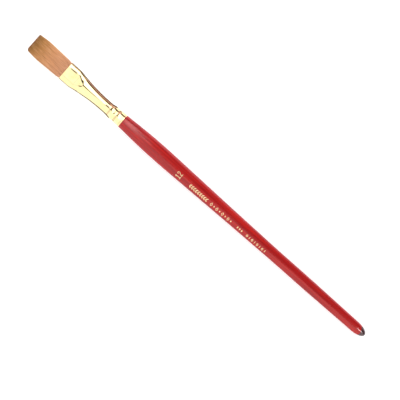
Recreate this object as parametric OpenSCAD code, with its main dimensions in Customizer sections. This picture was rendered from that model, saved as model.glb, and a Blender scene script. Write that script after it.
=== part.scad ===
// Flat artists' paint brush, lying along X: hair at -X, butt of the handle at +X.
// Millimetres, +Z up. The brush lies on its belly at Z = 0, centred on X and Y.
// Its wide hair and the ferrule's pressed faces look up and down.

/* [Hair] */
// Length of hair showing past the ferrule
tuft_l = 25; // [18:0.5:30]
// Widest part of the hair, two thirds of the way to the tip
tuft_w = 13; // [12.5:0.1:14]
// Width where the rounded corners of the tip begin
tip_w = 12.1; // [11.5:0.1:12.4]
// Thickest part of the hair, a little way out of the ferrule
tuft_h = 4; // [3.6:0.1:4.6]
// Thickness of the chisel edge at the tip
tip_h = 1; // [0.6:0.1:1.6]
// Length of hair held inside the ferrule
root_l = 14.5; // [13.8:0.1:16]
// Diameter of the binding thread
thread_d = 0.4; // [0.3:0.05:0.5]
// Turns of the binding thread
thread_turns = 3; // [1:1:4]

/* [Ferrule] */
// Length of the ferrule from its mouth to the handle's shoulder
ferrule_l = 44.5; // [44:0.5:50]
// Outer width of the flat mouth
mouth_w = 12; // [11.6:0.1:12.4]
// Outer thickness of the flat mouth
mouth_h = 3.9; // [3.6:0.1:4.2]
// Length of the parallel pressed faces
flat_l = 7; // [6:0.1:8]
// Distance from the mouth to where the tube is round
press_l = 29; // [27:0.5:29]
// Outer diameter of the round neck
neck_d = 7.5; // [7.2:0.1:7.8]
// Thickness of the brass
wall = 0.3; // [0.2:0.05:0.35]
// Outer diameter over the two rolled beads
bead_d = 8.35; // [8.1:0.05:8.5]
// Outer diameter at the bottom of the crimp between them
crimp_d = 7.8; // [7.6:0.05:7.9]
// Distance from the handle's shoulder to the crimp
crimp_at = 5.3; // [5.2:0.1:6]

/* [Handle] */
// Length of the handle from the ferrule to the butt, without the dip
handle_l = 187.5; // [185:0.5:200]
// Diameter at the shoulder, against the ferrule
shoulder_d = 8.5; // [8.4:0.05:8.8]
// Largest diameter, at the belly
belly_d = 10.2; // [9.8:0.1:10.8]
// Distance from the shoulder to the belly
belly_at = 28; // [26:0.5:32]
// Diameter of the straight shank
shank_d = 7.4; // [7.2:0.1:7.6]
// Distance from the shoulder to the start of the shank
shank_at = 121; // [115:0.5:124]
// Length of the straight shank
shank_l = 17; // [12:0.5:20]
// Diameter where the rounded butt begins
butt_d = 6.7; // [6.3:0.05:6.9]
// Length of the rounded butt
butt_l = 8; // [6:0.5:10]
// Length of the wooden tenon inside the ferrule
tenon_l = 15; // [12:0.5:15]
// Thickness of the glue round the tenon
glue_t = 0.06; // [0.04:0.01:0.1]

/* [Finish] */
// Thickness of the red lacquer
coat_t = 0.2; // [0.1:0.05:0.3]
// Thickness of the dark dip over the lacquer
dip_t = 0.1; // [0.06:0.02:0.2]
// Length of the dark dip
dip_l = 3.7; // [3:0.1:6]
// Thickness of the gold foil
foil_t = 0.03; // [0.02:0.01:0.05]
// Height of the size numerals
numeral_h = 3.6; // [3:0.1:4]
// Distance from the shoulder to the size numerals
numeral_at = 43.4; // [40:0.2:46]
// How far the row of marks lies from the handle's top line
marks_y = 2.1; // [1.6:0.1:2.4]

/* [Hidden] */

// Places along the brush
total_l = tuft_l + ferrule_l + handle_l + dip_t;
tip_x = -total_l / 2;
mouth_x = tip_x + tuft_l;
handle_x = mouth_x + ferrule_l;
axis_z = belly_d / 2;

// The hair turns about this line across the mouth: its end is round there, so it clears
// the root and the ferrule at every angle
bore_w = mouth_w - 2 * wall;
bore_h = mouth_h - 2 * wall;
pivot_r = bore_h / 2 - 0.05;
pivot_gap = 0.1;
pivot_x = -pivot_gap - pivot_r;

// A flattened tube keeps the length of its wall, so its width sets its thickness
mouth_tube_d = (2 * (mouth_w - mouth_h) + PI * mouth_h) / PI;
press_power = 1.8;
press_rings = 14;
// The pressed walls stop this far short of the surfaces that they run into
seam = 0.01;

// Smallest gap between the glued pieces and the brass
snug = 0.03;
tied_w = 8.2;
tied_h = 4.4;
tied_at = 12;
glue_end = 20;

// Groups of foil marks: [distance of the first from the shoulder, pitch, how many]
sprigs = [53.6, 1.55, 9];
chain = [70.4, 2.15, 8];
dots = [90.7, 1.6, 3];
border = [98, 1.95, 8];

path_steps = 4;
ring_half = 24;
$fn = 96;

// ---- Curves ----

function clamp(u) = min(1, max(0, u));

// Slope at a station of a smooth outline: level at the ends, peaks and straight stretches
function slope(s, i) =
    i == 0 || i == len(s) - 1 || (s[i + 1][1] - s[i][1]) * (s[i][1] - s[i - 1][1]) <= 0 ? 0
    : (s[i + 1][1] - s[i - 1][1]) / (s[i + 1][0] - s[i - 1][0]);

// Smooth cubic between stations i and i + 1, at u from 0 to 1
function cubic(s, i, u) =
    let (h = s[i + 1][0] - s[i][0])
    [s[i][0] + u * h,
     s[i][1] * (1 + 2 * u) * pow(1 - u, 2) + s[i + 1][1] * u * u * (3 - 2 * u)
     + slope(s, i) * h * u * pow(1 - u, 2) - slope(s, i + 1) * h * u * u * (1 - u)];

// Points of the whole outline: a straight stretch keeps only its ends
function outline(s, steps = path_steps) = concat(
    [for (i = [0 : len(s) - 2])
        let (n = s[i][1] == s[i + 1][1] ? 1 : steps)
        for (k = [0 : n - 1]) cubic(s, i, k / n)],
    [s[len(s) - 1]]);

function reversed(p) = [for (i = [len(p) - 1 : -1 : 0]) p[i]];

// ---- Ferrule sections ----

function pressed(d) = clamp((d - flat_l) / (press_l - flat_l));
function tube_w(d) = neck_d + (mouth_w - neck_d) * pow(1 - pressed(d), press_power);
function tube_h(d) =
    let (round_d = mouth_tube_d + (neck_d - mouth_tube_d) * pressed(d))
    (PI * round_d - 2 * tube_w(d)) / (PI - 2);

// Diameter of the round part, by distance from the handle's shoulder
neck_stations = [
    [0, bead_d - 0.05], [1, bead_d - 0.15], [crimp_at - 2.4, bead_d], [crimp_at, crimp_d],
    [crimp_at + 3, bead_d - 0.05], [crimp_at + 5.1, neck_d + 0.08],
    [ferrule_l - press_l, neck_d]];

// Outer diameter of the handle, by distance from the shoulder
handle_stations = [
    [0, shoulder_d], [10, 0.5 * (shoulder_d + belly_d)], [20, belly_d - 0.1],
    [belly_at, belly_d], [52, 9.45], [80, 8.4], [104, shank_d + 0.35], [shank_at, shank_d],
    [shank_at + shank_l, shank_d], [160, 7.05], [handle_l - butt_l, butt_d]];

// The rounded butt is a quarter of an ellipse; the dip begins at a point of it
dip_rise = asin((butt_l - dip_l) / butt_l);
dip_angles = [for (k = [1 : 6]) dip_rise + (90 - dip_rise) * k / 6];
bare_angles = [for (k = [1 : 3]) dip_rise * k / 3];

// Points [distance, radius] of the butt, in by inset or proud if it is negative
function butt_curve(angles, inset) =
    [for (a = angles)
        [handle_l - butt_l + (butt_l - inset) * sin(a),
         a > 89.9 ? 0 : (butt_d / 2 - inset) * cos(a)]];

// The same for the handle's whole outside, from the shoulder to the butt
function handle_outline(inset) = concat(
    [for (p = outline(handle_stations)) [p[0], p[1] / 2 - inset]],
    butt_curve(bare_angles, inset), butt_curve(dip_angles, inset));

// The same for the round neck, over the given length from the shoulder
function neck_outline(inset, length) =
    let (whole = outline(neck_stations))
    concat(
        [for (p = whole) if (p[0] < length) [p[0], p[1] / 2 - inset]],
        [[length, lookup(length, whole) / 2 - inset]]);

// ---- Shared shapes ----

// Turns an outline of [distance, radius] points about the brush's axis, from x
module lathe(x, points) {
    translate([x, 0, axis_z])
    rotate([0, 90, 0])
    rotate_extrude()
    polygon([for (p = points) [p[1], p[0]]]);
}

// The same about the shoulder, for outlines that run from it towards the mouth
module lathe_back(points) {
    translate([handle_x, 0, axis_z])
    rotate([0, -90, 0])
    rotate_extrude()
    polygon([for (p = points) [p[1], p[0]]]);
}

// Flat oval, w across and h thick
module oval(w, h) {
    square([w - h, h], center = true);
    for (side = [-1, 1])
        translate([side * (w - h) / 2, 0]) circle(d = h);
}

// Straight bar of flat oval section, from distance d out of the mouth
module oval_bar(d, length, w, h) {
    translate([mouth_x + d, 0, axis_z])
    rotate([90, 0, 90])
    linear_extrude(length) oval(w, h);
}

// Ring of points of a flat oval at distance d behind the mouth
function oval_ring(d, w, h) =
    [for (side = [0, 1], k = [0 : ring_half - 1])
        let (a = -90 + 180 * side + 180 * (k + 0.5) / ring_half)
        [mouth_x + d, (1 - 2 * side) * (w - h) / 2 + h / 2 * cos(a), axis_z + h / 2 * sin(a)]];

// Closed solid through flat ovals, each [distance, width, thickness]
module oval_loft(sections) {
    n = 2 * ring_half;
    last = len(sections) - 1;
    polyhedron(
        points = [for (s = sections, p = oval_ring(s[0], s[1], s[2])) p],
        faces = concat(
            [[for (k = [0 : n - 1]) k]],
            [[for (k = [n - 1 : -1 : 0]) last * n + k]],
            [for (i = [0 : last - 1], k = [0 : n - 1])
                [i * n + k, (i + 1) * n + k, (i + 1) * n + (k + 1) % n, i * n + (k + 1) % n]]));
}

// ---- Hair ----

// Width and thickness of the hair, by distance out of the mouth
width_stations = [
    [pivot_gap, bore_w - 0.1], [1.2, mouth_w], [0.35 * tuft_l, mouth_w + 0.5],
    [0.66 * tuft_l, tuft_w], [tuft_l - 1.4, tip_w]];
thick_stations = [
    [-pivot_x, 2 * pivot_r], [0.25 * tuft_l, tuft_h], [0.55 * tuft_l, 0.85 * tuft_h],
    [tuft_l, tip_h]];

// Closed outline, mirrored about the axis, from [distance, full width] points
function both_sides(p) = concat(
    [for (q = p) [-q[0], q[1] / 2]],
    [for (q = reversed(p)) [-q[0], -q[1] / 2]]);

module hair_tuft() {
    corner = concat(
        outline(width_stations),
        [for (a = [30, 60, 90]) [tuft_l - 1.4 + 1.4 * sin(a), tip_w - 2 * (1 - cos(a))]]);
    color([0.78, 0.56, 0.38])
    intersection() {
        translate([mouth_x, 0, 0])
            linear_extrude(2 * axis_z) polygon(both_sides(corner));
        translate([mouth_x, tuft_w, axis_z]) rotate([90, 0, 0])
        linear_extrude(2 * tuft_w) {
            polygon(both_sides(outline(thick_stations)));
            translate([pivot_x, 0]) circle(r = pivot_r);
        }
        oval_bar(-tuft_l - 1, tuft_l + 2, tuft_w + 0.2, tuft_h + 0.4);
    }
}

module hair_root() {
    color([0.72, 0.5, 0.33]) {
        oval_bar(0, flat_l, bore_w - 2 * snug, bore_h - 2 * snug);
        oval_loft([
            [flat_l, bore_w - 4 * snug, bore_h - 4 * snug],
            [tied_at, tied_w - 2 * seam, tied_h - 2 * seam]]);
        oval_bar(tied_at, root_l - tied_at, tied_w, tied_h);
    }
}

// Turns of thread lie side by side on the tied end of the root
module root_thread() {
    pitch = thread_d + 0.02;
    bend_r = tied_h / 2 + thread_d / 2 + 0.02;
    run = tied_w - tied_h;
    color("ivory")
    for (turn = [1 : thread_turns])
        translate([mouth_x + root_l - turn * pitch, 0, axis_z])
        rotate([90, 0, 90])
        for (side = [0, 180])
            rotate(side) {
                translate([run / 2, 0]) rotate(-90)
                    rotate_extrude(angle = 180) translate([bend_r, 0]) circle(d = thread_d);
                translate([-run / 2, bend_r]) rotate([0, 90, 0])
                    cylinder(d = thread_d, h = run);
            }
}

module root_glue() {
    clear = 2 * (wall + snug);
    color([0.85, 0.7, 0.35])
    oval_loft([for (d = [root_l : (glue_end - root_l) / 4 : glue_end])
        [d, tube_w(d) - clear, tube_h(d) - clear]]);
}

// ---- Ferrule ----

module pressed_walls(inset) {
    oval_loft([for (k = [0 : press_rings])
        let (d = flat_l + (press_l - flat_l) * pow(k / press_rings, 1.2))
        [d, tube_w(d) - 2 * inset, tube_h(d) - 2 * inset]]);
}

module ferrule() {
    round_l = ferrule_l - press_l;
    color([0.93, 0.78, 0.42])
    difference() {
        union() {
            oval_bar(0, flat_l, mouth_w, mouth_h);
            pressed_walls(seam);
            lathe_back(concat(neck_outline(0, round_l), [[round_l, 0], [0, 0]]));
        }
        union() {
            oval_bar(-1, flat_l + 1, bore_w, bore_h);
            pressed_walls(wall - seam);
            lathe_back(concat(
                [[-1, neck_stations[0][1] / 2 - wall]],
                neck_outline(wall, round_l), [[round_l, 0], [-1, 0]]));
        }
    }
}

module tenon_glue() {
    color([0.9, 0.8, 0.55])
    lathe_back(concat(
        neck_outline(wall, tenon_l), reversed(neck_outline(wall + glue_t, tenon_l))));
}

// ---- Handle ----

module handle_core() {
    tenon = neck_outline(wall + glue_t, tenon_l);
    color("burlywood")
    lathe(handle_x, concat(
        [[-tenon_l, 0]], reversed([for (p = tenon) [-p[0], p[1]]]), handle_outline(coat_t)));
}

module lacquer_coat() {
    color([0.7, 0.1, 0.12])
    lathe(handle_x, concat(handle_outline(0), reversed(handle_outline(coat_t))));
}

module end_dip() {
    arc = concat([dip_rise], dip_angles);
    color([0.16, 0.08, 0.12])
    lathe(handle_x, concat(butt_curve(arc, -dip_t), reversed(butt_curve(arc, 0))));
}

// ---- Foil marks ----

// The numerals 1 and 2, upright, with their lower left corner at the origin
module numerals(h) {
    stroke = 0.11 * h;
    digit_w = 0.44 * h;
    bowl_r = digit_w / 2;
    translate([0.3 * digit_w, 0]) square([stroke, h]);
    translate([0.3 * digit_w, h]) rotate(-145) square([0.55 * digit_w, stroke]);
    translate([0.3 * digit_w - 0.25 * digit_w, 0]) square([0.5 * digit_w + stroke, stroke]);
    translate([digit_w + 0.1 * h, 0]) {
        square([digit_w, stroke]);
        translate([bowl_r, h - bowl_r])
            difference() {
                circle(r = bowl_r);
                circle(r = bowl_r - stroke);
                translate([-2 * bowl_r, -2 * bowl_r]) square([2 * bowl_r, 2 * bowl_r]);
                rotate(-45) translate([-2 * bowl_r, -4 * bowl_r])
                    square(4 * bowl_r);
            }
        polygon([[0, stroke], [stroke, stroke * 0.6],
                 [bowl_r * 1.72, h - bowl_r * 1.72], [bowl_r * 1.5, h - bowl_r * 1.45]]);
    }
}

module lozenge(w, h) {
    polygon([[-w / 2, 0], [0, h / 2], [w / 2, 0], [0, -h / 2]]);
}

// A lozenge with an open middle
module link(w, h, stroke) {
    difference() {
        lozenge(w, h);
        offset(delta = -stroke) lozenge(w, h);
    }
}

// Two leaves, pointed at both ends, that grow from one point
module sprig(length, width, slant) {
    r = (length * length / 4 + width * width / 4) / width;
    for (side = [-1, 1])
        rotate(side * slant) translate([length / 2, 0])
            intersection() {
                translate([0, r - width / 2]) circle(r = r);
                translate([0, width / 2 - r]) circle(r = r);
            }
}

// Places the children at each mark of a group; $k counts them
module along(group) {
    for ($k = [0 : group[2] - 1])
        translate([group[0] + group[1] * $k, 0]) children();
}

// Flat pattern of the marks: distance from the shoulder along X, the handle's top line at Y = 0
module marks_pattern() {
    translate([numeral_at + numeral_h, -numeral_h]) rotate(90) numerals(numeral_h);
    translate([0, -marks_y]) {
        along(sprigs) sprig(1.75, 0.66, 38);
        along(chain) if ($k % 2 == 0) link(1.7, 2.3, 0.3); else lozenge(0.9, 1.2);
        along(dots) lozenge(1, 1.5);
        along(border) if ($k % 2 == 0) link(1.5, 1.9, 0.3); else square([0.36, 1.46], center = true);
    }
}

module foil_marks() {
    marked = [for (p = handle_outline(0)) if (p[0] > 36 && p[0] < 122) p];
    color([0.92, 0.8, 0.5])
    intersection() {
        translate([handle_x, 0, axis_z]) linear_extrude(axis_z + 1) marks_pattern();
        lathe(handle_x, concat(
            [for (p = marked) [p[0], p[1] + foil_t]], reversed(marked)));
    }
}

hair_tuft();
hair_root();
root_thread();
root_glue();
ferrule();
tenon_glue();
handle_core();
lacquer_coat();
end_dip();
foil_marks();
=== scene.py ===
"""Flat artists' paint brush lying on a pale floor: copper hair, gold ferrule, red lacquered handle.

The brush lies along X: the hair at -X, the butt of the handle at +X, the wide faces up and down.
Distances along it are in millimetres, from the ferrule's mouth or from the handle's shoulder.
"""

import math
import random

import bmesh
import bpy
import numpy as np
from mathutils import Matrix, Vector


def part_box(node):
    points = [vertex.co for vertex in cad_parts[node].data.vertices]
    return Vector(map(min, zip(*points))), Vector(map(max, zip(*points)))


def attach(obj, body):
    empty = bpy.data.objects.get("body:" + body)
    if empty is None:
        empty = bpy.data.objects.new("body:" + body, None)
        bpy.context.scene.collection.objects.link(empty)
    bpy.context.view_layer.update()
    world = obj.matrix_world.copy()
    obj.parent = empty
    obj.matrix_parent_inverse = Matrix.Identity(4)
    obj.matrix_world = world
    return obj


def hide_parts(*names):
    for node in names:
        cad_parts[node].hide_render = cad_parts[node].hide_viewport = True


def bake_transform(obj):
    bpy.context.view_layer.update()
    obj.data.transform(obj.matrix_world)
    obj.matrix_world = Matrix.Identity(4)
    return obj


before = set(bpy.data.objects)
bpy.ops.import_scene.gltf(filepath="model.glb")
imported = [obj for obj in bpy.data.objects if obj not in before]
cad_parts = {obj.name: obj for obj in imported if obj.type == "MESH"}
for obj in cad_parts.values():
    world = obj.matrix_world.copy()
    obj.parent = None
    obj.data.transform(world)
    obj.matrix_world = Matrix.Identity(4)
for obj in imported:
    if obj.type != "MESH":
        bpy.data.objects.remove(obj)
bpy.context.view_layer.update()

MM = 0.001
rng = random.Random(12)

# ---- Places, from the frame ----

tip_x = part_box("hair_tuft")[0].x
mouth_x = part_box("ferrule")[0].x
shoulder_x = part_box("ferrule")[1].x
axis_z = (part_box("ferrule")[0].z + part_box("ferrule")[1].z) / 2
tuft_l = (mouth_x - tip_x) / MM
ferrule_l = (shoulder_x - mouth_x) / MM
handle_l = (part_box("lacquer_coat")[1].x - shoulder_x) / MM

# ---- Sizes in millimetres, as in the CAD model ----

# Handle: (distance from the shoulder, diameter)
butt_l = 8
butt_d = 6.7
handle_stations = [(0, 8.5), (10, 9.35), (20, 10.1), (28, 10.2), (52, 9.45), (80, 8.4),
                   (104, 7.75), (121, 7.4), (138, 7.4), (160, 7.05), (handle_l - butt_l, butt_d)]
coat_t = 0.2
dip_l = 3.7
dip_t = 0.1

# Ferrule: pressed flat at the mouth, round from press_l on
mouth_w = 12
neck_d = 7.5
wall = 0.3
flat_l = 7
press_l = 29
# (distance from the mouth, half of the tube's thickness before its faces are pressed)
tube_stations = [(0, 2.28), (7, 2.34), (10.5, 2.62), (13.5, 3.12), (20, 3.47), (press_l, neck_d / 2)]
# The pressed faces are level as far as fold_at, then rise to meet the round tube
face_z = 1.95
fold_at = 8.7
fold_rise = 0.244
# The tongue that each fold makes ends here
tongue_end = 14.6
# How soon the mouth's width narrows to the neck
narrowing = 1.8
# (distance from the shoulder, diameter) of the neck with its two rolled beads
neck_stations = [(0, 8.3), (1, 8.2), (2.9, 8.35), (3.8, 8.32), (5.3, 7.8), (8.3, 8.3), (10.4, 7.58),
                 (ferrule_l - press_l, neck_d)]

# Hair: (distance out of the mouth, width) and (distance out of the mouth, thickness)
root_hidden = 0.8
hair_w_stations = [(-root_hidden, 11.1), (0, 11.35), (0.5, 11.85), (1.6, 12.1), (8.75, 12.5), (16.5, 13),
                   (23.6, 12.1), (tuft_l, 11.9)]
hair_t_stations = [(-root_hidden, 3.15), (0, 3.3), (0.8, 3.8), (6.25, 4), (13.75, 3.4), (tuft_l, 1)]
# Radii of the tip's corners at +Y and at -Y
tip_corners = (0.6, 1.4)


# ---- Curves and meshes ----

def outline(stations, steps=12):
    """Points of a smooth curve through the stations, level at its ends, peaks and straight stretches."""
    s = np.array(stations, float)
    run = np.diff(s[:, 0])
    rise = np.diff(s[:, 1])
    slope = np.zeros(len(s))
    for i in range(1, len(s) - 1):
        if rise[i - 1] * rise[i] > 0:
            slope[i] = (rise[i - 1] + rise[i]) / (run[i - 1] + run[i])
    u = np.arange(steps) / steps
    points = []
    for i in range(len(run)):
        size = (s[i, 1] * (1 + 2 * u) * (1 - u) ** 2 + s[i + 1, 1] * u * u * (3 - 2 * u)
                + run[i] * u * (1 - u) * (slope[i] * (1 - u) - slope[i + 1] * u))
        points.extend(zip(s[i, 0] + u * run[i], size))
    points.append(tuple(s[-1]))
    return np.array(points)


def at(curve, distance):
    """Height of a curve at a distance."""
    return np.interp(distance, curve[:, 0], curve[:, 1])


def new_object(name, mesh):
    """Object of a finished mesh, shaded smooth."""
    mesh.shade_smooth()
    obj = bpy.data.objects.new(name, mesh)
    bpy.context.scene.collection.objects.link(obj)
    return obj


def rings_object(name, rings, looped):
    """Closed mesh through equal rings of points in metres; looped rings close on themselves."""
    count, n = len(rings), len(rings[0])
    spans = count if looped else count - 1
    faces = [(i * n + k, i * n + (k + 1) % n, (i + 1) % count * n + (k + 1) % n, (i + 1) % count * n + k)
             for i in range(spans) for k in range(n)]
    if not looped:
        faces += [tuple(range(n)), tuple(range((count - 1) * n, count * n))]
    mesh = bpy.data.meshes.new(name)
    mesh.from_pydata([point for ring in rings for point in ring], [], faces)
    bm = bmesh.new()
    bm.from_mesh(mesh)
    bmesh.ops.remove_doubles(bm, verts=bm.verts, dist=1e-7)
    bmesh.ops.recalc_face_normals(bm, faces=bm.faces)
    bm.to_mesh(mesh)
    bm.free()
    return new_object(name, mesh)


def store(mesh, attribute, values):
    """Keeps one value per vertex under a name, for the materials to read."""
    layer = mesh.attributes.new(attribute, "FLOAT", "POINT")
    layer.data.foreach_set("value", np.asarray(values, np.float32))


def paint(obj, attribute, value):
    """Stores value(point) for every vertex."""
    store(obj.data, attribute, [value(vertex.co) for vertex in obj.data.vertices])


def circle_ring(distance, radius, sides):
    """Ring about the brush's axis, at a distance from the shoulder."""
    turns = [2 * math.pi * k / sides for k in range(sides)]
    return [(shoulder_x + distance * MM, radius * MM * math.cos(t), axis_z + radius * MM * math.sin(t))
            for t in turns]


# ---- Materials ----

class Nodes:
    """A node tree, with short ways to add to it."""

    def __init__(self, tree):
        self.tree = tree

    def add(self, kind, inputs=(), **settings):
        """New node, with its settings and its inputs by name or number: sockets or values."""
        node = self.tree.nodes.new(kind)
        for name, value in settings.items():
            setattr(node, name, value)
        for name, value in dict(inputs).items():
            if isinstance(value, bpy.types.NodeSocket):
                self.tree.links.new(value, node.inputs[name])
            else:
                node.inputs[name].default_value = value
        return node

    def math(self, operation, *values):
        """One arithmetic node."""
        return self.add("ShaderNodeMath", dict(enumerate(values)), operation=operation).outputs[0]

    def spread(self, value, low, high, to_low=0.0, to_high=1.0):
        """The value, moved from one range to another and held there."""
        made = self.add("ShaderNodeMapRange", {
            "Value": value, "From Min": low, "From Max": high, "To Min": to_low, "To Max": to_high})
        return made.outputs["Result"]

    def mix(self, factor, first, second, blend="MIX"):
        """Colour between two colours."""
        made = self.add("ShaderNodeMix", {0: factor, 6: first, 7: second},
                        data_type="RGBA", blend_type=blend)
        return made.outputs[2]

    def ramp(self, value, stops):
        """Colour by value, from (position, colour) stops that begin at 0 and end at 1."""
        node = self.add("ShaderNodeValToRGB", {"Fac": value})
        elements = node.color_ramp.elements
        elements[0].color = stops[0][1]
        elements[1].color = stops[-1][1]
        for position, colour in stops[1:-1]:
            elements.new(position).color = colour
        return node.outputs["Color"]


class Look(Nodes):
    """A material: its shader, whose fixed values are set here, and what it reads and drives."""

    def __init__(self, name, **fixed):
        self.material = bpy.data.materials.new(name)
        self.material.use_nodes = True
        super().__init__(self.material.node_tree)
        self.shader = self.tree.nodes["Principled BSDF"]
        for socket, value in fixed.items():
            self.shader.inputs[socket.replace("_", " ")].default_value = value
        self.place = self.add("ShaderNodeTexCoord").outputs["Object"]

    def attribute(self, name):
        """A value that store() or paint() left on the mesh."""
        return self.add("ShaderNodeAttribute", attribute_name=name).outputs["Fac"]

    def noise(self, per_mm, detail=3, roughness=0.5):
        """Noise with so many features per millimetre along X, Y and Z."""
        scale = [value / MM for value in per_mm]
        stretched = self.add("ShaderNodeVectorMath", {0: self.place, 1: scale}, operation="MULTIPLY")
        made = self.add("ShaderNodeTexNoise", {
            "Vector": stretched.outputs[0], "Scale": 1, "Detail": detail, "Roughness": roughness})
        return made.outputs["Fac"]

    def drive(self, **sockets):
        """Links results to the shader's own sockets."""
        for socket, value in sockets.items():
            self.tree.links.new(value, self.shader.inputs[socket.replace("_", " ")])

    def bump(self, height, depth_mm, strength=1.0):
        """Relief of the surface, this deep where the height goes from 0 to 1."""
        made = self.add("ShaderNodeBump", {
            "Height": height, "Distance": depth_mm * MM, "Strength": strength})
        self.drive(Normal=made.outputs["Normal"])


def rgb(red, green, blue):
    """Opaque linear colour."""
    return (red, green, blue, 1.0)


def lacquer_look():
    """Red lacquer over wood: lengthwise grain that shows through, a hand-dipped gloss."""
    look = Look("red_lacquer", Coat_Weight=1.0, Coat_Roughness=0.2, Specular_IOR_Level=0.0)
    grain = look.noise((0.02, 1.1, 1.1), detail=4, roughness=0.6)
    drift = look.noise((0.03, 0.08, 0.08), detail=2)
    pores = look.spread(look.noise((0.07, 4, 4), detail=2), 0.62, 0.72)
    red = look.mix(look.spread(grain, 0.4, 0.62), rgb(0.3, 0.002, 0.003), rgb(0.54, 0.011, 0.006))
    red = look.mix(look.math("MULTIPLY", look.spread(drift, 0.35, 0.65), 0.5), red, rgb(0.43, 0.005, 0.004))
    red = look.mix(look.math("MULTIPLY", pores, 0.4), red, rgb(0.2, 0.002, 0.006))
    peel = look.noise((0.5, 0.9, 0.9), detail=1)
    look.drive(Base_Color=red, Roughness=look.spread(drift, 0.3, 0.7, 0.3, 0.42))
    look.bump(look.math("ADD", peel, look.math("MULTIPLY", grain, 0.5)), 0.006)
    return look.material


def gold_look():
    """Gold-plated brass: lengthwise drawing marks, painted shade in the crimps and painted dark lines along
    the creases.
    """
    look = Look("gold_plate", Metallic=1.0)
    marks = look.noise((0.05, 5, 5), detail=3, roughness=0.7)
    handled = look.noise((0.25, 0.3, 0.3), detail=3)
    tint = look.mix(look.spread(handled, 0.35, 0.7), rgb(1.0, 0.87, 0.47), rgb(0.98, 0.82, 0.4))
    # Painted shade: darker, duller brown in the crimps and at the tube's end
    crimp_shade = look.attribute("crimp_shade")
    tint = look.mix(look.math("MULTIPLY", crimp_shade, 0.6), tint, rgb(0.5, 0.3, 0.18))
    # Painted dark reflection and shade: nearly black lines along the creases, across each face and along
    # the neck
    tint = look.mix(look.attribute("fold"), tint, rgb(0.03, 0.02, 0.025))
    smear = look.math("ADD", look.spread(handled, 0.3, 0.75, 0.05, 0.1),
                      look.spread(marks, 0.35, 0.75, 0.0, 0.05))
    look.drive(Base_Color=tint, Roughness=look.math("ADD", smear, look.math("MULTIPLY", crimp_shade, 0.08)))
    look.bump(marks, 0.0012)
    return look.material


def hair_look():
    """Synthetic filaments: copper, browner to the tip, each filament with its own tone."""
    look = Look("copper_hair", Specular_IOR_Level=0.4, Sheen_Weight=0.1, Sheen_Roughness=0.4)
    along = look.attribute("along")
    tone = look.attribute("tone")
    body = look.ramp(along, [
        (0.0, rgb(0.85, 0.4, 0.24)), (0.05, rgb(0.64, 0.28, 0.135)), (0.45, rgb(0.68, 0.3, 0.12)),
        (0.75, rgb(0.54, 0.235, 0.06)), (0.93, rgb(0.37, 0.155, 0.022)), (0.985, rgb(0.35, 0.145, 0.04)),
        (1.0, rgb(0.26, 0.12, 0.08))])
    darker = look.mix(1.0, body, rgb(0.42, 0.37, 0.28), blend="MULTIPLY")
    lighter = look.mix(0.42, body, rgb(0.95, 0.7, 0.46))
    streak = look.noise((0.14, 2.2, 2.2), detail=3, roughness=0.7)
    tone = look.math("ADD", look.math("MULTIPLY", tone, 0.5), look.spread(streak, 0.3, 0.7, 0.0, 0.5))
    colour = look.mix(look.spread(tone, 0.12, 0.5), darker, body)
    colour = look.mix(look.spread(tone, 0.5, 1.0), colour, lighter)
    look.drive(Base_Color=colour, Roughness=look.spread(streak, 0.3, 0.7, 0.34, 0.52))
    look.bump(streak, 0.01)
    return look.material


def foil_look():
    """Hot-stamped gold foil, a little mottled where it took less well."""
    look = Look("gold_foil", Metallic=0.9)
    mottle = look.noise((2.2, 2.2, 2.2), detail=3)
    tint = look.mix(look.spread(mottle, 0.4, 0.68), rgb(0.95, 0.78, 0.46), rgb(0.72, 0.45, 0.22))
    look.drive(Base_Color=tint, Roughness=look.spread(mottle, 0.3, 0.7, 0.25, 0.45))
    look.bump(mottle, 0.004)
    return look.material


def dip_look():
    """Thick dark varnish on the butt, cloudy purple-brown."""
    look = Look("dark_dip", Coat_Weight=1.0, Coat_Roughness=0.04, Specular_IOR_Level=0.4)
    cloud = look.noise((0.6, 0.8, 0.8), detail=3)
    tint = look.mix(look.spread(cloud, 0.35, 0.65), rgb(0.04, 0.013, 0.016), rgb(0.1, 0.03, 0.032))
    look.drive(Base_Color=tint, Roughness=look.spread(cloud, 0.3, 0.7, 0.2, 0.32))
    look.bump(look.noise((0.8, 0.8, 0.8), detail=1), 0.01)
    return look.material


def wood_look():
    """Pale turned wood, for the core that the lacquer hides."""
    look = Look("pale_wood")
    grain = look.noise((0.03, 1.2, 1.2), detail=5, roughness=0.6)
    tint = look.mix(look.spread(grain, 0.3, 0.7), rgb(0.55, 0.33, 0.15), rgb(0.75, 0.52, 0.28))
    look.drive(Base_Color=tint, Roughness=look.spread(grain, 0.3, 0.7, 0.5, 0.65))
    look.bump(grain, 0.03)
    return look.material


def thread_look():
    """Ivory binding thread with its twist."""
    look = Look("ivory_thread", Sheen_Weight=0.3)
    twist = look.add("ShaderNodeTexWave", {
        "Vector": look.place, "Scale": 900, "Distortion": 1.0}, bands_direction="DIAGONAL").outputs["Fac"]
    tint = look.mix(twist, rgb(0.62, 0.55, 0.42), rgb(0.85, 0.8, 0.68))
    look.drive(Base_Color=tint, Roughness=look.spread(twist, 0, 1, 0.6, 0.8))
    look.bump(twist, 0.04)
    return look.material


def glue_look():
    """Amber glue with small clouds in it."""
    look = Look("amber_glue", Subsurface_Weight=0.3, Subsurface_Radius=(0.002, 0.001, 0.0005))
    cloud = look.noise((0.7, 0.7, 0.7), detail=3)
    tint = look.mix(look.spread(cloud, 0.35, 0.65), rgb(0.6, 0.33, 0.08), rgb(0.75, 0.5, 0.18))
    look.drive(Base_Color=tint, Roughness=look.spread(cloud, 0.3, 0.7, 0.2, 0.4))
    look.bump(cloud, 0.02)
    return look.material


# ---- Handle ----

handle_curve = outline(handle_stations)


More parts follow.
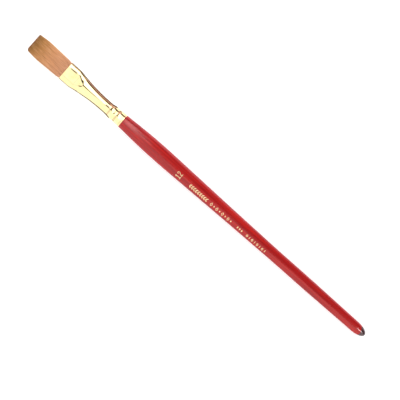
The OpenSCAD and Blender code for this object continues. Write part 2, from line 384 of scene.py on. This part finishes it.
def butt_point(angle, inset):
    """(distance, radius) on the rounded butt, a quarter of an ellipse, angle from 0 to 90 degrees."""
    a = math.radians(angle)
    return (handle_l - butt_l + (butt_l - inset) * math.sin(a), max(0, butt_d / 2 - inset) * math.cos(a))


def handle_profile(inset, butt_steps=24):
    """(distance, radius) points of the handle's outside, in by inset, from the shoulder to the butt."""
    points = [(d, size / 2 - inset) for d, size in handle_curve]
    return points + [butt_point(90 * k / butt_steps, inset) for k in range(1, butt_steps + 1)]


def lacquer_coat(sides=128, edge_r=0.15):
    """Shell of lacquer with a softened edge where it meets the ferrule."""
    outer = handle_profile(0)
    rim = outer[0][1]
    edge = [(edge_r * (1 - math.cos(a)), rim - edge_r * (1 - math.sin(a)))
            for a in (math.radians(15 * k) for k in range(6))]
    outer = edge + [p for p in outer if p[0] >= edge_r]
    inner = handle_profile(coat_t, butt_steps=8)[::-1]
    return rings_object("lacquer_shell", [circle_ring(d, r, sides) for d, r in outer + inner], looped=True)


def dip_start(turn):
    """Angle on the butt's ellipse where the dark dip begins, wavy round the handle."""
    sag = (-0.8 * math.cos(turn) + 0.5 * math.sin(turn) ** 6 + 0.12 * math.sin(3 * turn + 2)
           + 0.05 * math.sin(7 * turn))
    start = butt_l - dip_l + sag
    return math.degrees(math.asin(start / butt_l))


def dipped_end(sides=128, steps=26, sunk=0.03):
    """Skin of dark varnish over the butt: thin at its wavy edge, dip_t thick further on."""
    rings = []
    for skin in ("outer", "inner"):
        side_rings = []
        for step in range(steps + 1):
            ring = []
            for k in range(sides):
                turn = 2 * math.pi * k / sides
                start = dip_start(turn)
                s = (step / steps) ** 1.5
                thick = dip_t * math.sqrt(min(1, s / 0.05)) if skin == "outer" else -sunk
                distance, radius = butt_point(start + (90 - start) * s, -thick)
                ring.append((shoulder_x + distance * MM, radius * MM * math.cos(turn),
                             axis_z + radius * MM * math.sin(turn)))
            side_rings.append(ring)
        rings += side_rings if skin == "outer" else side_rings[::-1]
    return rings_object("dipped_butt", rings, looped=True)


# ---- Ferrule ----

tube_curve = outline(tube_stations)
neck_curve = outline(neck_stations, steps=20)


def soft_min(a, b, rounding=0.03):
    """The lesser of two heights, with the corner between them rounded."""
    return (a + b - math.hypot(a - b, rounding)) / 2


def ferrule_sizes(distance, inset):
    """Half width and half thickness of the tube, and height of its pressed faces, in by inset."""
    if distance < press_l:
        pressed = min(1, max(0, (distance - flat_l) / (press_l - flat_l)))
        half_w = (neck_d + (mouth_w - neck_d) * (1 - pressed) ** narrowing) / 2 - inset
        top = face_z + fold_rise * max(0, distance - fold_at) - inset
        return half_w, float(at(tube_curve, distance)) - inset, top
    radius = float(at(neck_curve, ferrule_l - distance)) / 2 - inset
    return radius, radius, 2 * radius


def crease_at(half_w, half_t, top):
    """How far across a pressed face reaches, where the round of the tube meets it."""
    return half_w * math.sqrt(max(0, 1 - (top / half_t) ** 2)) if top < half_t else 0


def ferrule_section(distance, inset, face_points=22, side_points=45):
    """Half of a ring, upper face and right side in turn, at a distance from the mouth."""
    half_w, half_t, top = ferrule_sizes(distance, inset)
    # Points crowd together about the crease, where the section turns sharply
    near = 0.36
    crease = max(crease_at(half_w, half_t, top), near + 0.04)
    folds = [crease + offset for offset in (-0.24, -0.15, -0.08, -0.03, 0.03, 0.08, 0.15, 0.24)]
    face = [(crease - near) * (1 - 2 * k / face_points) for k in range(face_points + 1)]
    start = math.acos(min(1, (crease + near) / half_w))
    across = folds[::-1] + face + [-y for y in folds]
    points = [(y, math.sqrt(1 - (y / half_w) ** 2) * half_t) for y in across]
    turns = [start * (1 - 2 * k / side_points) for k in range(side_points + 1)]
    points += [(-half_w * math.cos(t), half_t * math.sin(t)) for t in turns]
    return [(y, math.copysign(soft_min(abs(z), top), z)) for y, z in points]


def ferrule_ring(distance, inset):
    """Whole ring of the ferrule, closed by turning the half ring over."""
    half = ferrule_section(distance, inset)
    return [(mouth_x + distance * MM, y * MM, axis_z + z * MM)
            for y, z in half + [(-y, -z) for y, z in half]]


# Painted dark lines of reflection and shade along the creases and the neck. A face's edges, by distance
# from the mouth:
# strong along one edge, at +Y on top and at -Y beneath, and faint along the other
fold_shade_strengths = np.array([(1.2, 0), (2, 0.8), (4.5, 0.93), (6, 0.85), (7, 0), (8.2, 0.6), (9, 1),
                           (13.5, 1), (16, 0.93), (22, 0.8), (28, 0)])
faint_shade_strengths = np.array([(8.5, 0.1), (11.3, 0.15), (12.2, 0.8), (13.4, 0.9), (13.6, 0)])
line_half_w = 0.4243
# The ridge behind each face crosses it where it starts to rise, and carries a faint painted dark line there
ridge_w = 0.16
ridge_strength = 0.2
# A painted dark dash along the neck, a dark reflection put on as colour: its distance from the mouth, half
# its length, and its place across
dash_at = 32.3
dash_half_l = 1.732
dash_across = 0.6
# Painted shade of the crimps: (distance from the shoulder, width, strength) of the darker tint in each and
# at the tube's end
crimp_shades = ((4.7, 0.6, 1), (9.7, 0.6, 1), (1, 0.4, 0.7), (0, 0.15, 1))


def bell(offset, width):
    """1 at no offset, falling to nothing within about twice the width."""
    return math.exp(-(offset / width) ** 2)


def steep_bell(offset, half):
    """1 about the middle, with steep sides, down to a third at half."""
    return bell(offset ** 2, half ** 2)


def point_side(point):
    """1 on the upper half of the brush, -1 on the lower half, which is the upper one turned over."""
    return 1 if point.z > axis_z else -1


def crimp_shade_depth(point):
    """How strong the crimps' painted shade is at a point of the ferrule, from 0 to 1."""
    d = (shoulder_x - point.x) / MM
    return min(1.0, sum(strength * bell(d - place, width) for place, width, strength in crimp_shades))


def fold_shade_line(point):
    """How strong the painted dark line of reflection and shade is at a point of the ferrule, from 0 to 1.
    """
    d = (point.x - mouth_x) / MM
    across = point.y / MM
    side = point_side(point)
    crease = crease_at(*ferrule_sizes(d, 0))
    strengths = fold_shade_strengths if across * side > 0 else faint_shade_strengths
    edge = float(at(strengths, d)) * steep_bell(abs(across) - crease, line_half_w)
    ridge = ridge_strength * bell(d - fold_at, ridge_w) * (abs(across) < crease)
    dash = steep_bell(d - dash_at, dash_half_l) * steep_bell(across - dash_across * side, line_half_w)
    return max(edge, ridge, dash)


def ferrule():
    """One brass tube: rounded rims, pressed faces with their folded tongues, two rolled beads."""
    rim_steps = 8
    rim = [math.pi * k / rim_steps for k in range(rim_steps + 1)]
    round_over = [(wall / 2 * (1 - math.sin(a)), wall / 2 * (1 + math.cos(a))) for a in rim]
    # (from, to, spacing of the rings), closer together over the tongues and the crimps
    tongue_start = fold_at - 0.6
    spans = [(wall / 2, tongue_start, 0.5), (tongue_start, tongue_end, 0.12), (tongue_end, press_l, 0.4),
             (press_l, ferrule_l - wall / 2, 0.1)]
    outer = [a + (b - a) * k / round((b - a) / step)
             for a, b, step in spans for k in range(round((b - a) / step))]
    rings = [ferrule_ring(d, inset) for d, inset in round_over]
    rings += [ferrule_ring(d, 0) for d in outer[1:]]
    rings += [ferrule_ring(ferrule_l - d, wall - inset) for d, inset in round_over]
    rings += [ferrule_ring(d, wall) for d in outer[:0:-4]]
    obj = rings_object("brass_ferrule", rings, looped=True)
    # Painted shade in the crimps and at the tube's end
    paint(obj, "crimp_shade", crimp_shade_depth)
    # Painted dark lines of reflection and shade along the creases and the neck
    paint(obj, "fold", fold_shade_line)
    return obj


def filling(name, start, end, gather, spacing=0.5, clear=0.03):
    """Solid that fills the tube between two distances from the mouth, drawn in by gather(distance)."""
    steps = round((end - start) / spacing)
    places = [start + (end - start) * k / steps for k in range(steps + 1)]
    return rings_object(name, [ferrule_ring(d, wall + clear + gather(d)) for d in places], looped=False)


# ---- Hair ----

hair_w_curve = outline(hair_w_stations)
hair_t_curve = outline(hair_t_stations)
section_power = 2.8
# Half width and half thickness that stand for the bundle where places are spaced round it
middle_half_w = 6.3
middle_half_t = 1.9
# Filaments in three layers round the core, which start inside the mouth, and ends that fill the tip
outer_count = 2300
layer_depths = (0.0, 0.07, 0.15)
outer_start = -0.6
tip_count = 620
tip_reach = 7
filament_r = 0.062
filament_sides = 5
# A filament's rings lie closer together towards its end, which is this much finer
ring_crowding = 1.4
end_taper = 0.7
# At the tip the filaments are drawn together into clumps by this share of the way
clumps = 44
clump_pull = 0.2
# Sideways waves: lowest and highest, shortest and longest
wave_h = (0.02, 0.09)
wave_l = (4, 8)
# Ends: how uneven, the share of broken ones, and the most that those have lost
uneven_l = 0.1
broken_share = 0.04
broken_l = 0.9


def section_height(across):
    """Half thickness of the bundle's section, from 1 at its middle to 0 at its edges."""
    return (1 - np.abs(across) ** section_power) ** (1 / section_power)


def even_round(count, shuffle, samples=4001):
    """(across, up) places spaced evenly round the bundle's section, each from -1 to 1."""
    turn = np.linspace(0, 2 * math.pi, samples)
    across = np.sign(np.cos(turn)) * np.abs(np.cos(turn)) ** (2 / section_power)
    up = np.sign(np.sin(turn)) * np.abs(np.sin(turn)) ** (2 / section_power)
    pace = np.hypot(np.diff(across) * middle_half_w, np.diff(up) * middle_half_t)
    walked = np.concatenate([[0], np.cumsum(pace)])
    wanted = (np.arange(count) + shuffle.uniform(-0.5, 0.5, count)) / count * walked[-1] % walked[-1]
    return np.interp(wanted, walked, across), np.interp(wanted, walked, up)


def filament_tones(across, clump, shuffle):
    """Tone of each filament: partly its clump's, mostly its own, with painted light making it lighter at
    the bundle's two edges.
    """
    clump_tone = shuffle.uniform(0.15, 0.85, clumps + 3)[clump.astype(int) + clumps // 2 + 1]
    # Painted light: filaments at the bundle's two edges are lighter, as where light shines through them
    edge_from = 0.93
    outermost = np.clip((np.abs(across) - edge_from) / (1 - edge_from), 0, 1)
    own_tone = shuffle.uniform(0, 1, len(across))
    return np.clip(0.3 * clump_tone + 0.7 * own_tone + 0.8 * outermost, 0, 1.6)


def filament_lengths(across, shuffle):
    """How far each filament reaches: round at the tip's corners, a little uneven, a few short."""
    count = len(across)
    half_tip = at(hair_w_curve, tuft_l) / 2
    corner_r = np.where(across > 0, *tip_corners)
    beyond = np.clip((np.abs(across) * half_tip - (half_tip - corner_r)) / corner_r, 0, 1)
    length = tuft_l - corner_r * (1 - np.sqrt(1 - beyond ** 2))
    uneven = np.abs(shuffle.normal(0, uneven_l, count))
    broken = shuffle.random(count) < broken_share
    return length - (uneven + broken * shuffle.uniform(0, broken_l, count))


def filament_points(across, up, depth, start, rings, clump, length, shuffle):
    """Points of every filament, ring by ring, and how far out each ring is, from 0 to 1."""
    count = len(across)
    t = np.arange(rings) / (rings - 1)
    d = start + (length[:, None] - start) * (1 - (1 - t[None, :]) ** ring_crowding)
    out = np.clip(d / tuft_l, 0, 1)
    drawn = across[:, None] + clump_pull * (clump * 2 / clumps - across)[:, None] * out ** 3
    wave = shuffle.uniform(*wave_h, count)[:, None] * out * np.sin(
        d / shuffle.uniform(*wave_l, count)[:, None] + shuffle.uniform(0, 6.28, count)[:, None])
    half_w, half_t = at(hair_w_curve, d) / 2, at(hair_t_curve, d) / 2
    y = drawn * (half_w - filament_r - depth[:, None]) + wave
    z = up[:, None] * (half_t - filament_r - depth[:, None] * half_t / 2) + 0.5 * wave[::-1]
    thick = filament_r * shuffle.uniform(0.85, 1.15, count)[:, None] * (1 - end_taper * t[None, :] ** 3)
    angles = 2 * math.pi * np.arange(filament_sides) / filament_sides
    all_x = np.repeat(d[:, :, None], filament_sides, axis=2)
    all_y = y[:, :, None] + thick[:, :, None] * np.cos(angles)
    all_z = z[:, :, None] + thick[:, :, None] * np.sin(angles)
    return np.stack([mouth_x - all_x * MM, all_y * MM, axis_z + all_z * MM], axis=3), out


def filaments(name, across, up, depth, start, rings, shuffle):
    """One mesh of many separate tapered filaments, at these places of the section."""
    clump = np.round(across * clumps / 2 + shuffle.uniform(-0.3, 0.3, len(across)))
    tone = filament_tones(across, clump, shuffle)
    length = filament_lengths(across, shuffle)
    points, out = filament_points(across, up, depth, start, rings, clump, length, shuffle)
    n = filament_sides
    side = [(i * n + k, (i + 1) * n + k, (i + 1) * n + (k + 1) % n, i * n + (k + 1) % n)
            for i in range(rings - 1) for k in range(n)]
    one = rings * n
    shape = side + [tuple(range(n)), tuple(one - 1 - k for k in range(n))]
    faces = [tuple(one * i + v for v in face) for i in range(len(across)) for face in shape]
    mesh = bpy.data.meshes.new(name)
    mesh.from_pydata(points.reshape(-1, 3).tolist(), [], faces)
    store(mesh, "along", np.repeat(out.reshape(-1), n))
    store(mesh, "tone", np.repeat(tone, one))
    return new_object(name, mesh)


def hair_core(columns=160, steps=40, inset=0.16, short=0.9, flatness=3):
    """Solid heart of the bundle, just under the outer filaments, streaked like them."""
    across, up = even_round(columns, np.random.default_rng(3))
    order = np.argsort(np.arctan2(up, across))
    across, up = across[order], up[order]
    rings = []
    for d in np.linspace(-root_hidden, tuft_l - short, steps):
        half_w = at(hair_w_curve, d) / 2 - inset
        half_t = at(hair_t_curve, d) / 2 - min(inset, 0.2 * at(hair_t_curve, d))
        rings.append([(mouth_x - d * MM, a * half_w * MM, axis_z + u * half_t * MM)
                      for a, u in zip(across, up)])
    obj = rings_object("hair_core", rings, looped=False)
    lanes = {}

    def lane_tone(point):
        """Tone of the point's lane along the hair, by its direction from the middle."""
        lane = round(math.atan2((point.z - axis_z) * flatness, point.y), 2)
        return lanes.setdefault(lane, rng.uniform(0.1, 0.6))

    paint(obj, "along", lambda point: min(1, max(0, (mouth_x - point.x) / MM / tuft_l)))
    paint(obj, "tone", lane_tone)
    return obj


def hair():
    """The core, three layers of whole filaments round it, and the ends that fill the tip."""
    shuffle = np.random.default_rng(5)
    pieces = [hair_core()]
    across, up = even_round(outer_count, shuffle)
    depth = shuffle.choice(layer_depths, outer_count)
    for name, chosen in (("hair_upper", up >= 0), ("hair_lower", up < 0)):
        pieces.append(filaments(name, across[chosen], up[chosen], depth[chosen], outer_start,
                                rings=12, shuffle=shuffle))
    fill_w, fill_t, fill_depth = 0.97, 0.9, 0.1
    across = shuffle.uniform(-fill_w, fill_w, tip_count)
    up = shuffle.uniform(-fill_t, fill_t, tip_count) * section_height(across)
    pieces.append(filaments("hair_tips", across, up, np.full(tip_count, fill_depth), tuft_l - tip_reach,
                            rings=7, shuffle=shuffle))
    return pieces


# ---- Foil marks ----

numeral_at = 43.4
numeral_h = 3.6
marks_y = -2.1
foil_t = 0.03
foil_cell = 0.07
# The marks lie within these distances from the shoulder and places across the handle
foil_along = (42.8, 113.2)
foil_across = (-4.0, 0.4)
# Groups of marks: (distance of the first from the shoulder, pitch, how many)
laurel = (53.6, 1.55, 9)
chain = (70.4, 2.15, 8)
dots = (90.7, 1.6, 3)
border = (98, 1.95, 8)
# Shapes of the marks: degrees between a leaf and the handle, then each mark's length along the
# handle and height across it
leaf_slant = 38
chain_link = (1.7, 2.3)
chain_stud = (0.9, 1.2)
dot = (1.0, 1.5)
border_link = (1.5, 1.9)
border_bar = (0.36, 1.1)


def line_field(px, py, points, thick):
    """Distance to a line of even thickness through the points, negative inside it."""
    best = np.full(px.shape, 1e3)
    for (ax, ay), (bx, by) in zip(points, points[1:]):
        dx, dy = bx - ax, by - ay
        t = np.clip(((px - ax) * dx + (py - ay) * dy) / (dx * dx + dy * dy), 0, 1)
        best = np.minimum(best, np.hypot(px - ax - t * dx, py - ay - t * dy))
    return best - thick / 2


def numerals_field(px, py):
    """The numerals 1 and 2, upright, lower left corner at the origin."""
    stroke = 0.11 * numeral_h
    digit_w = 0.44 * numeral_h
    low, high = stroke / 2, numeral_h - stroke / 2
    stem = 0.5 * digit_w
    one = np.minimum(
        line_field(px, py, [(stem, low), (stem, high), (0.15 * digit_w, 0.8 * numeral_h)], stroke),
        line_field(px, py, [(0.12 * digit_w, low), (0.88 * digit_w, low)], stroke))
    left = digit_w + 0.1 * numeral_h
    bowl = digit_w / 2 - low
    middle = (left + digit_w / 2, high - bowl)
    arc = [(middle[0] + bowl * math.cos(math.radians(a)), middle[1] + bowl * math.sin(math.radians(a)))
           for a in range(170, -50, -20)]
    two = line_field(px, py, arc + [(left + low, low), (left + digit_w - low, low)], stroke)
    return np.minimum(one, two)


def lozenge_field(px, py, w, h):
    """Upright lozenge."""
    return (np.abs(px) / w + np.abs(py) / h - 0.5) * w * h / math.hypot(w, h)


def link_field(px, py, w, h, stroke=0.3):
    """Upright lozenge with an open middle."""
    solid = lozenge_field(px, py, w, h)
    return np.maximum(solid, -solid - stroke)


def leaf_field(px, py, slant, length=1.75, width=0.66):
    """Leaf pointed at both ends that grows from the origin, slanted by an angle in degrees."""
    a = math.radians(slant)
    u = px * math.cos(a) + py * math.sin(a) - length / 2
    v = py * math.cos(a) - px * math.sin(a)
    r = (length ** 2 / 4 + width ** 2 / 4) / width
    return np.maximum(np.hypot(u, v - r + width / 2), np.hypot(u, v + r - width / 2)) - r


def marks_field(along, across):
    """All the foil marks: distance from the shoulder, and place across the handle's top."""
    v = across - marks_y
    fields = [numerals_field(across + numeral_h, numeral_at + numeral_h - along)]

    def places(group):
        return [(k, along - group[0] - group[1] * k) for k in range(group[2])]

    for k, u in places(laurel):
        fields += [leaf_field(u, v, leaf_slant), leaf_field(u, v, -leaf_slant)]
    for k, u in places(chain):
        fields.append(link_field(u, v, *chain_link) if k % 2 == 0 else lozenge_field(u, v, *chain_stud))
    for k, u in places(dots):
        fields.append(lozenge_field(u, v, *dot))
    bar_t, bar_h = border_bar
    for k, u in places(border):
        if k % 2 == 0:
            fields.append(link_field(u, v, *border_link))
        else:
            fields.append(line_field(u, v, [(0, -bar_h / 2), (0, bar_h / 2)], bar_t))
    return np.minimum.reduce(fields)


def foil_point(along, across, lift):
    """Point on the handle's upper side, lifted off the lacquer."""
    radius = float(at(handle_curve, along)) / 2
    grow = (radius + lift) / radius
    return (shoulder_x + along * MM, across * grow * MM,
            axis_z + math.sqrt(radius ** 2 - across ** 2) * grow * MM)


def foil_marks():
    """Thin closed plates of foil, cut from the field of marks on a fine grid."""
    along, across = np.meshgrid(np.arange(*foil_along, foil_cell), np.arange(*foil_across, foil_cell),
                                indexing="ij")
    field = marks_field(along, across)
    verts, faces, rim, known = [], [], [], {}

    def vertex(key, place):
        if key not in known:
            known[key] = len(verts)
            verts.append(place)
        return known[key]

    corners = ((0, 0), (1, 0), (1, 1), (0, 1))
    # A cell further than this from the marks holds no part of them
    near = 0.2
    for i, j in np.argwhere(field[:-1, :-1] < near):
        face, cuts = [], []
        for c in range(4):
            a = (i + corners[c][0], j + corners[c][1])
            b = (i + corners[(c + 1) % 4][0], j + corners[(c + 1) % 4][1])
            fa, fb = field[a], field[b]
            if fa < 0:
                face.append(vertex(a, (along[a], across[a])))
            if (fa < 0) != (fb < 0):
                t = fa / (fa - fb)
                place = (along[a] + t * (along[b] - along[a]), across[a] + t * (across[b] - across[a]))
                cuts.append((vertex((min(a, b), max(a, b)), place), fa < 0))
                face.append(cuts[-1][0])
        if len(face) >= 3:
            faces.append(tuple(face))
        if len(cuts) == 2:
            leaving, entering = sorted(cuts, key=lambda cut: not cut[1])
            rim.append((leaving[0], entering[0]))
    n = len(verts)
    points = [foil_point(u, v, lift) for lift in (foil_t, -foil_t) for u, v in verts]
    faces += [tuple(n + k for k in reversed(face)) for face in faces]
    faces += [(b, a, n + a, n + b) for a, b in rim]
    mesh = bpy.data.meshes.new("foil_ornament")
    mesh.from_pydata(points, [], faces)
    return new_object("foil_ornament", mesh)


# ---- The object ----

looks = {
    "hair": hair_look(), "gold": gold_look(), "red_lacquer": lacquer_look(), "dark_dip": dip_look(),
    "foil": foil_look(), "wood": wood_look(), "thread": thread_look(), "glue": glue_look()}


def dress(obj, slot):
    """Gives an object the look of the given slot."""
    obj.data.materials.clear()
    obj.data.materials.append(looks[slot])


for piece, slot, node in (
        (ferrule(), "gold", "ferrule"), (lacquer_coat(), "red_lacquer", "lacquer_coat"),
        (dipped_end(), "dark_dip", "end_dip"), (foil_marks(), "foil", "foil_marks")):
    dress(piece, slot)
    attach(piece, "brush")
    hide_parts(node)

# The hair's pieces keep their place, their transforms applied, and stand in for the CAD tuft
for piece in hair():
    dress(piece, "hair")
    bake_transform(piece)
    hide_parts("hair_tuft")

# The hair's root is drawn together under its thread, and glue fills the tube behind it
root_start, root_l, glue_end, tied_at = 0.2, 14.5, 20, 12
tied_in = 0.75


def root_gather(distance):
    """How far the root's filaments are drawn in: more and more as far as the thread."""
    return tied_in * min(1, max(0, (distance - flat_l) / (tied_at - flat_l)))


root = filling("gathered_root", root_start, root_l, root_gather)
for attribute, value in (("along", 0.0), ("tone", 0.4)):
    store(root.data, attribute, np.full(len(root.data.vertices), value))
glue = filling("glue_plug", root_l, glue_end, lambda distance: 0)
for piece, slot, node in ((root, "hair", "hair_root"), (glue, "glue", "root_glue")):
    dress(piece, slot)
    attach(piece, "brush")
    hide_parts(node)

for node, slot in (("root_thread", "thread"), ("tenon_glue", "glue"), ("handle_core", "wood")):
    dress(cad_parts[node], slot)


# ---- Floor, light and camera ----

def resting_slope():
    """Slope and height at X = 0 of the line under the brush that touches its belly and its butt."""
    profile = np.array(handle_profile(0))
    x, z = shoulder_x + profile[:, 0] * MM, axis_z - profile[:, 1] * MM
    # The steepest line under the handle that still touches its belly, found by halving
    past_belly = 0.05
    low, high = 0.0, 0.1
    for _ in range(40):
        middle = (low + high) / 2
        touching = x[np.argmin(z - middle * x)]
        low, high = (middle, high) if touching < past_belly else (low, middle)
    return low, float(np.min(z - low * x))


def plate(name, size_x, size_y, place, tilt=(0, 0, 0)):
    """Flat rectangle for the stage."""
    mesh = bpy.data.meshes.new(name)
    x, y = size_x / 2, size_y / 2
    mesh.from_pydata([(-x, -y, 0), (x, -y, 0), (x, y, 0), (-x, y, 0)], [], [(0, 1, 2, 3)])
    obj = bpy.data.objects.new(name, mesh)
    bpy.context.scene.collection.objects.link(obj)
    obj.location = place
    obj.rotation_euler = tilt
    return obj


slope, height = resting_slope()
tilt = -math.atan(slope)

floor = plate("floor", 4, 4, (0, 0, height), (0, tilt, 0))
floor_look = Look("pale_floor", Base_Color=rgb(0.9, 0.9, 0.9), Roughness=0.9, Specular_IOR_Level=0.1,
                  Emission_Color=rgb(1, 1, 1), Emission_Strength=0.42)
floor.data.materials.append(floor_look.material)

# Flags, glowing sheets both dark and pale, lie just over the floor beside the brush, and only reflections
# see them: painted reflections
# (name, from X, to X, from Y, to Y, colour)
bead_x = shoulder_x - 7.2 * MM
press_x = mouth_x + 13 * MM
flag_lift = 0.0006
flags = (("mouth", -0.4, press_x, 0.006, 0.06, rgb(0.12, 0.07, 0.06)),
         ("neck", press_x, bead_x, 0.006, 0.018, rgb(0.1, 0.06, 0.055)),
         ("neck_far", press_x, bead_x, 0.018, 1.0, rgb(0.56, 0.28, 0.34)),
         ("neck_edge", press_x, bead_x, -0.022, -0.004, rgb(0.26, 0.24, 0.27)),
         ("mouth_edge", -0.4, press_x, -0.06, -0.004, rgb(0.26, 0.24, 0.27)),
         ("handle", shoulder_x, 0.3, 0.006, 1.0, rgb(0.85, 0.8, 0.9)),
         ("handle_edge", shoulder_x, 0.3, -1.0, -0.006, rgb(0.75, 0.7, 0.75)))
for name, from_x, to_x, from_y, to_y, colour in flags:
    middle_x, middle_y = (from_x + to_x) / 2, (from_y + to_y) / 2
    flag = plate(name + "_flag", to_x - from_x, to_y - from_y,
                 (middle_x, middle_y, height + slope * middle_x + flag_lift), (0, tilt, 0))
    look = Look(name + "_flag", Base_Color=rgb(0, 0, 0), Roughness=1.0, Specular_IOR_Level=0.0,
                Emission_Color=colour, Emission_Strength=1.0)
    flag.data.materials.append(look.material)
    flag.visible_camera = False
    flag.visible_diffuse = False
    flag.visible_shadow = False
    flag.visible_transmission = False


def sky():
    """Even white light; only reflections see its bright half, dark gap and dim half."""
    world = bpy.data.worlds.new("studio")
    bpy.context.scene.world = world
    world.use_nodes = True
    world.cycles.sampling_method = "NONE"
    world.node_tree.nodes.clear()
    nodes = Nodes(world.node_tree)
    direction = nodes.add("ShaderNodeTexCoord").outputs["Generated"]
    split = nodes.add("ShaderNodeSeparateXYZ", {0: direction})
    towards_x = split.outputs["X"]
    lean = nodes.math("ARCTAN2", split.outputs["Y"], split.outputs["Z"])
    # (degrees from overhead towards +Y, colour)
    stops = [(-180, (1, 1, 1)), (11.5, (1, 1, 1)), (12.5, (0.1, 0.09, 0.1)), (50, (0.1, 0.08, 0.08)),
             (56, (1, 0.85, 0.9)), (64, (0.85, 0.55, 0.6)), (76, (0.6, 0.33, 0.4)),
             (180, (0.5, 0.26, 0.32))]
    overhead = nodes.ramp(nodes.spread(lean, -math.pi, math.pi),
                          [(degrees / 360 + 0.5, rgb(*colour)) for degrees, colour in stops])
    # Only what lies towards -X has the pink glow low down, so the handle stays deep red
    beyond = nodes.math("GREATER_THAN", lean, math.radians(12))
    dulled = nodes.math("MULTIPLY", beyond, nodes.spread(towards_x, -0.13, -0.07))
    coloured = nodes.mix(dulled, overhead, rgb(0.1, 0.07, 0.08))
    # The gap opens towards -X
    gap_from = nodes.spread(towards_x, -0.24, -0.08, math.radians(3), math.radians(11.5))
    # and over the handle it reaches across to -Y, so that only the lower side shines
    lowered = nodes.spread(towards_x, -0.05, -0.02, 0.0, math.radians(-24))
    in_gap = nodes.math("GREATER_THAN", lean, nodes.math("ADD", gap_from, lowered))
    past_gap = nodes.spread(lean, math.radians(12.5), math.radians(13))
    gapped = nodes.mix(in_gap, coloured, nodes.mix(past_gap, rgb(0.12, 0.1, 0.13), coloured))
    strength = 1.25
    even_light = nodes.add("ShaderNodeBackground", {"Strength": strength})
    mirror_light = nodes.add("ShaderNodeBackground", {"Color": gapped, "Strength": strength})
    seen = nodes.add("ShaderNodeLightPath").outputs["Is Glossy Ray"]
    chosen = nodes.add("ShaderNodeMixShader", {
        0: seen, 1: even_light.outputs[0], 2: mirror_light.outputs[0]})
    nodes.add("ShaderNodeOutputWorld", {"Surface": chosen.outputs[0]})


def panel(name, degrees, distance, middle_x, size_x, size_y, brightness):
    """Rectangular light facing the brush, at an angle from overhead towards +Y."""
    data = bpy.data.lights.new(name, "AREA")
    data.shape = "RECTANGLE"
    data.size = size_x
    data.size_y = size_y
    data.energy = brightness * math.pi * size_x * size_y
    obj = bpy.data.objects.new(name, data)
    bpy.context.scene.collection.objects.link(obj)
    a = math.radians(degrees)
    obj.location = (middle_x, distance * math.sin(a), axis_z + distance * math.cos(a))
    obj.rotation_euler = (-a, 0, 0)
    obj.visible_camera = False
    return obj


sky()
# (name, degrees, distance, middle X, size along X, size across, brightness)
panel("key_light", 35, 0.35, -0.1515, 0.137, 0.3, 2.2)
# Small lights that only make highlights: on the crimps, the neck and shoulder, and the butt
for light in (panel("bead_light", 22, 0.06, -0.0615, 0.012, 0.087, 1.8),
              panel("strip_light", 16, 0.34, -0.078, 0.05, 0.01, 7),
              panel("butt_light", 4, 0.3, 0.35, 0.25, 0.06, 26)):
    light.visible_diffuse = False

camera_data = bpy.data.cameras.new("camera")
camera_data.lens = 185
camera_data.sensor_width = 36
camera = bpy.data.objects.new("camera", camera_data)
# Straight overhead, turned and shifted so that the brush lies in the picture as in the photo
camera.location = (0.0048, -0.0046, 1.2)
camera.rotation_euler = (0, 0, math.radians(41.5))
bpy.context.scene.collection.objects.link(camera)
bpy.context.scene.camera = camera
bpy.context.scene.view_settings.view_transform = "Standard"
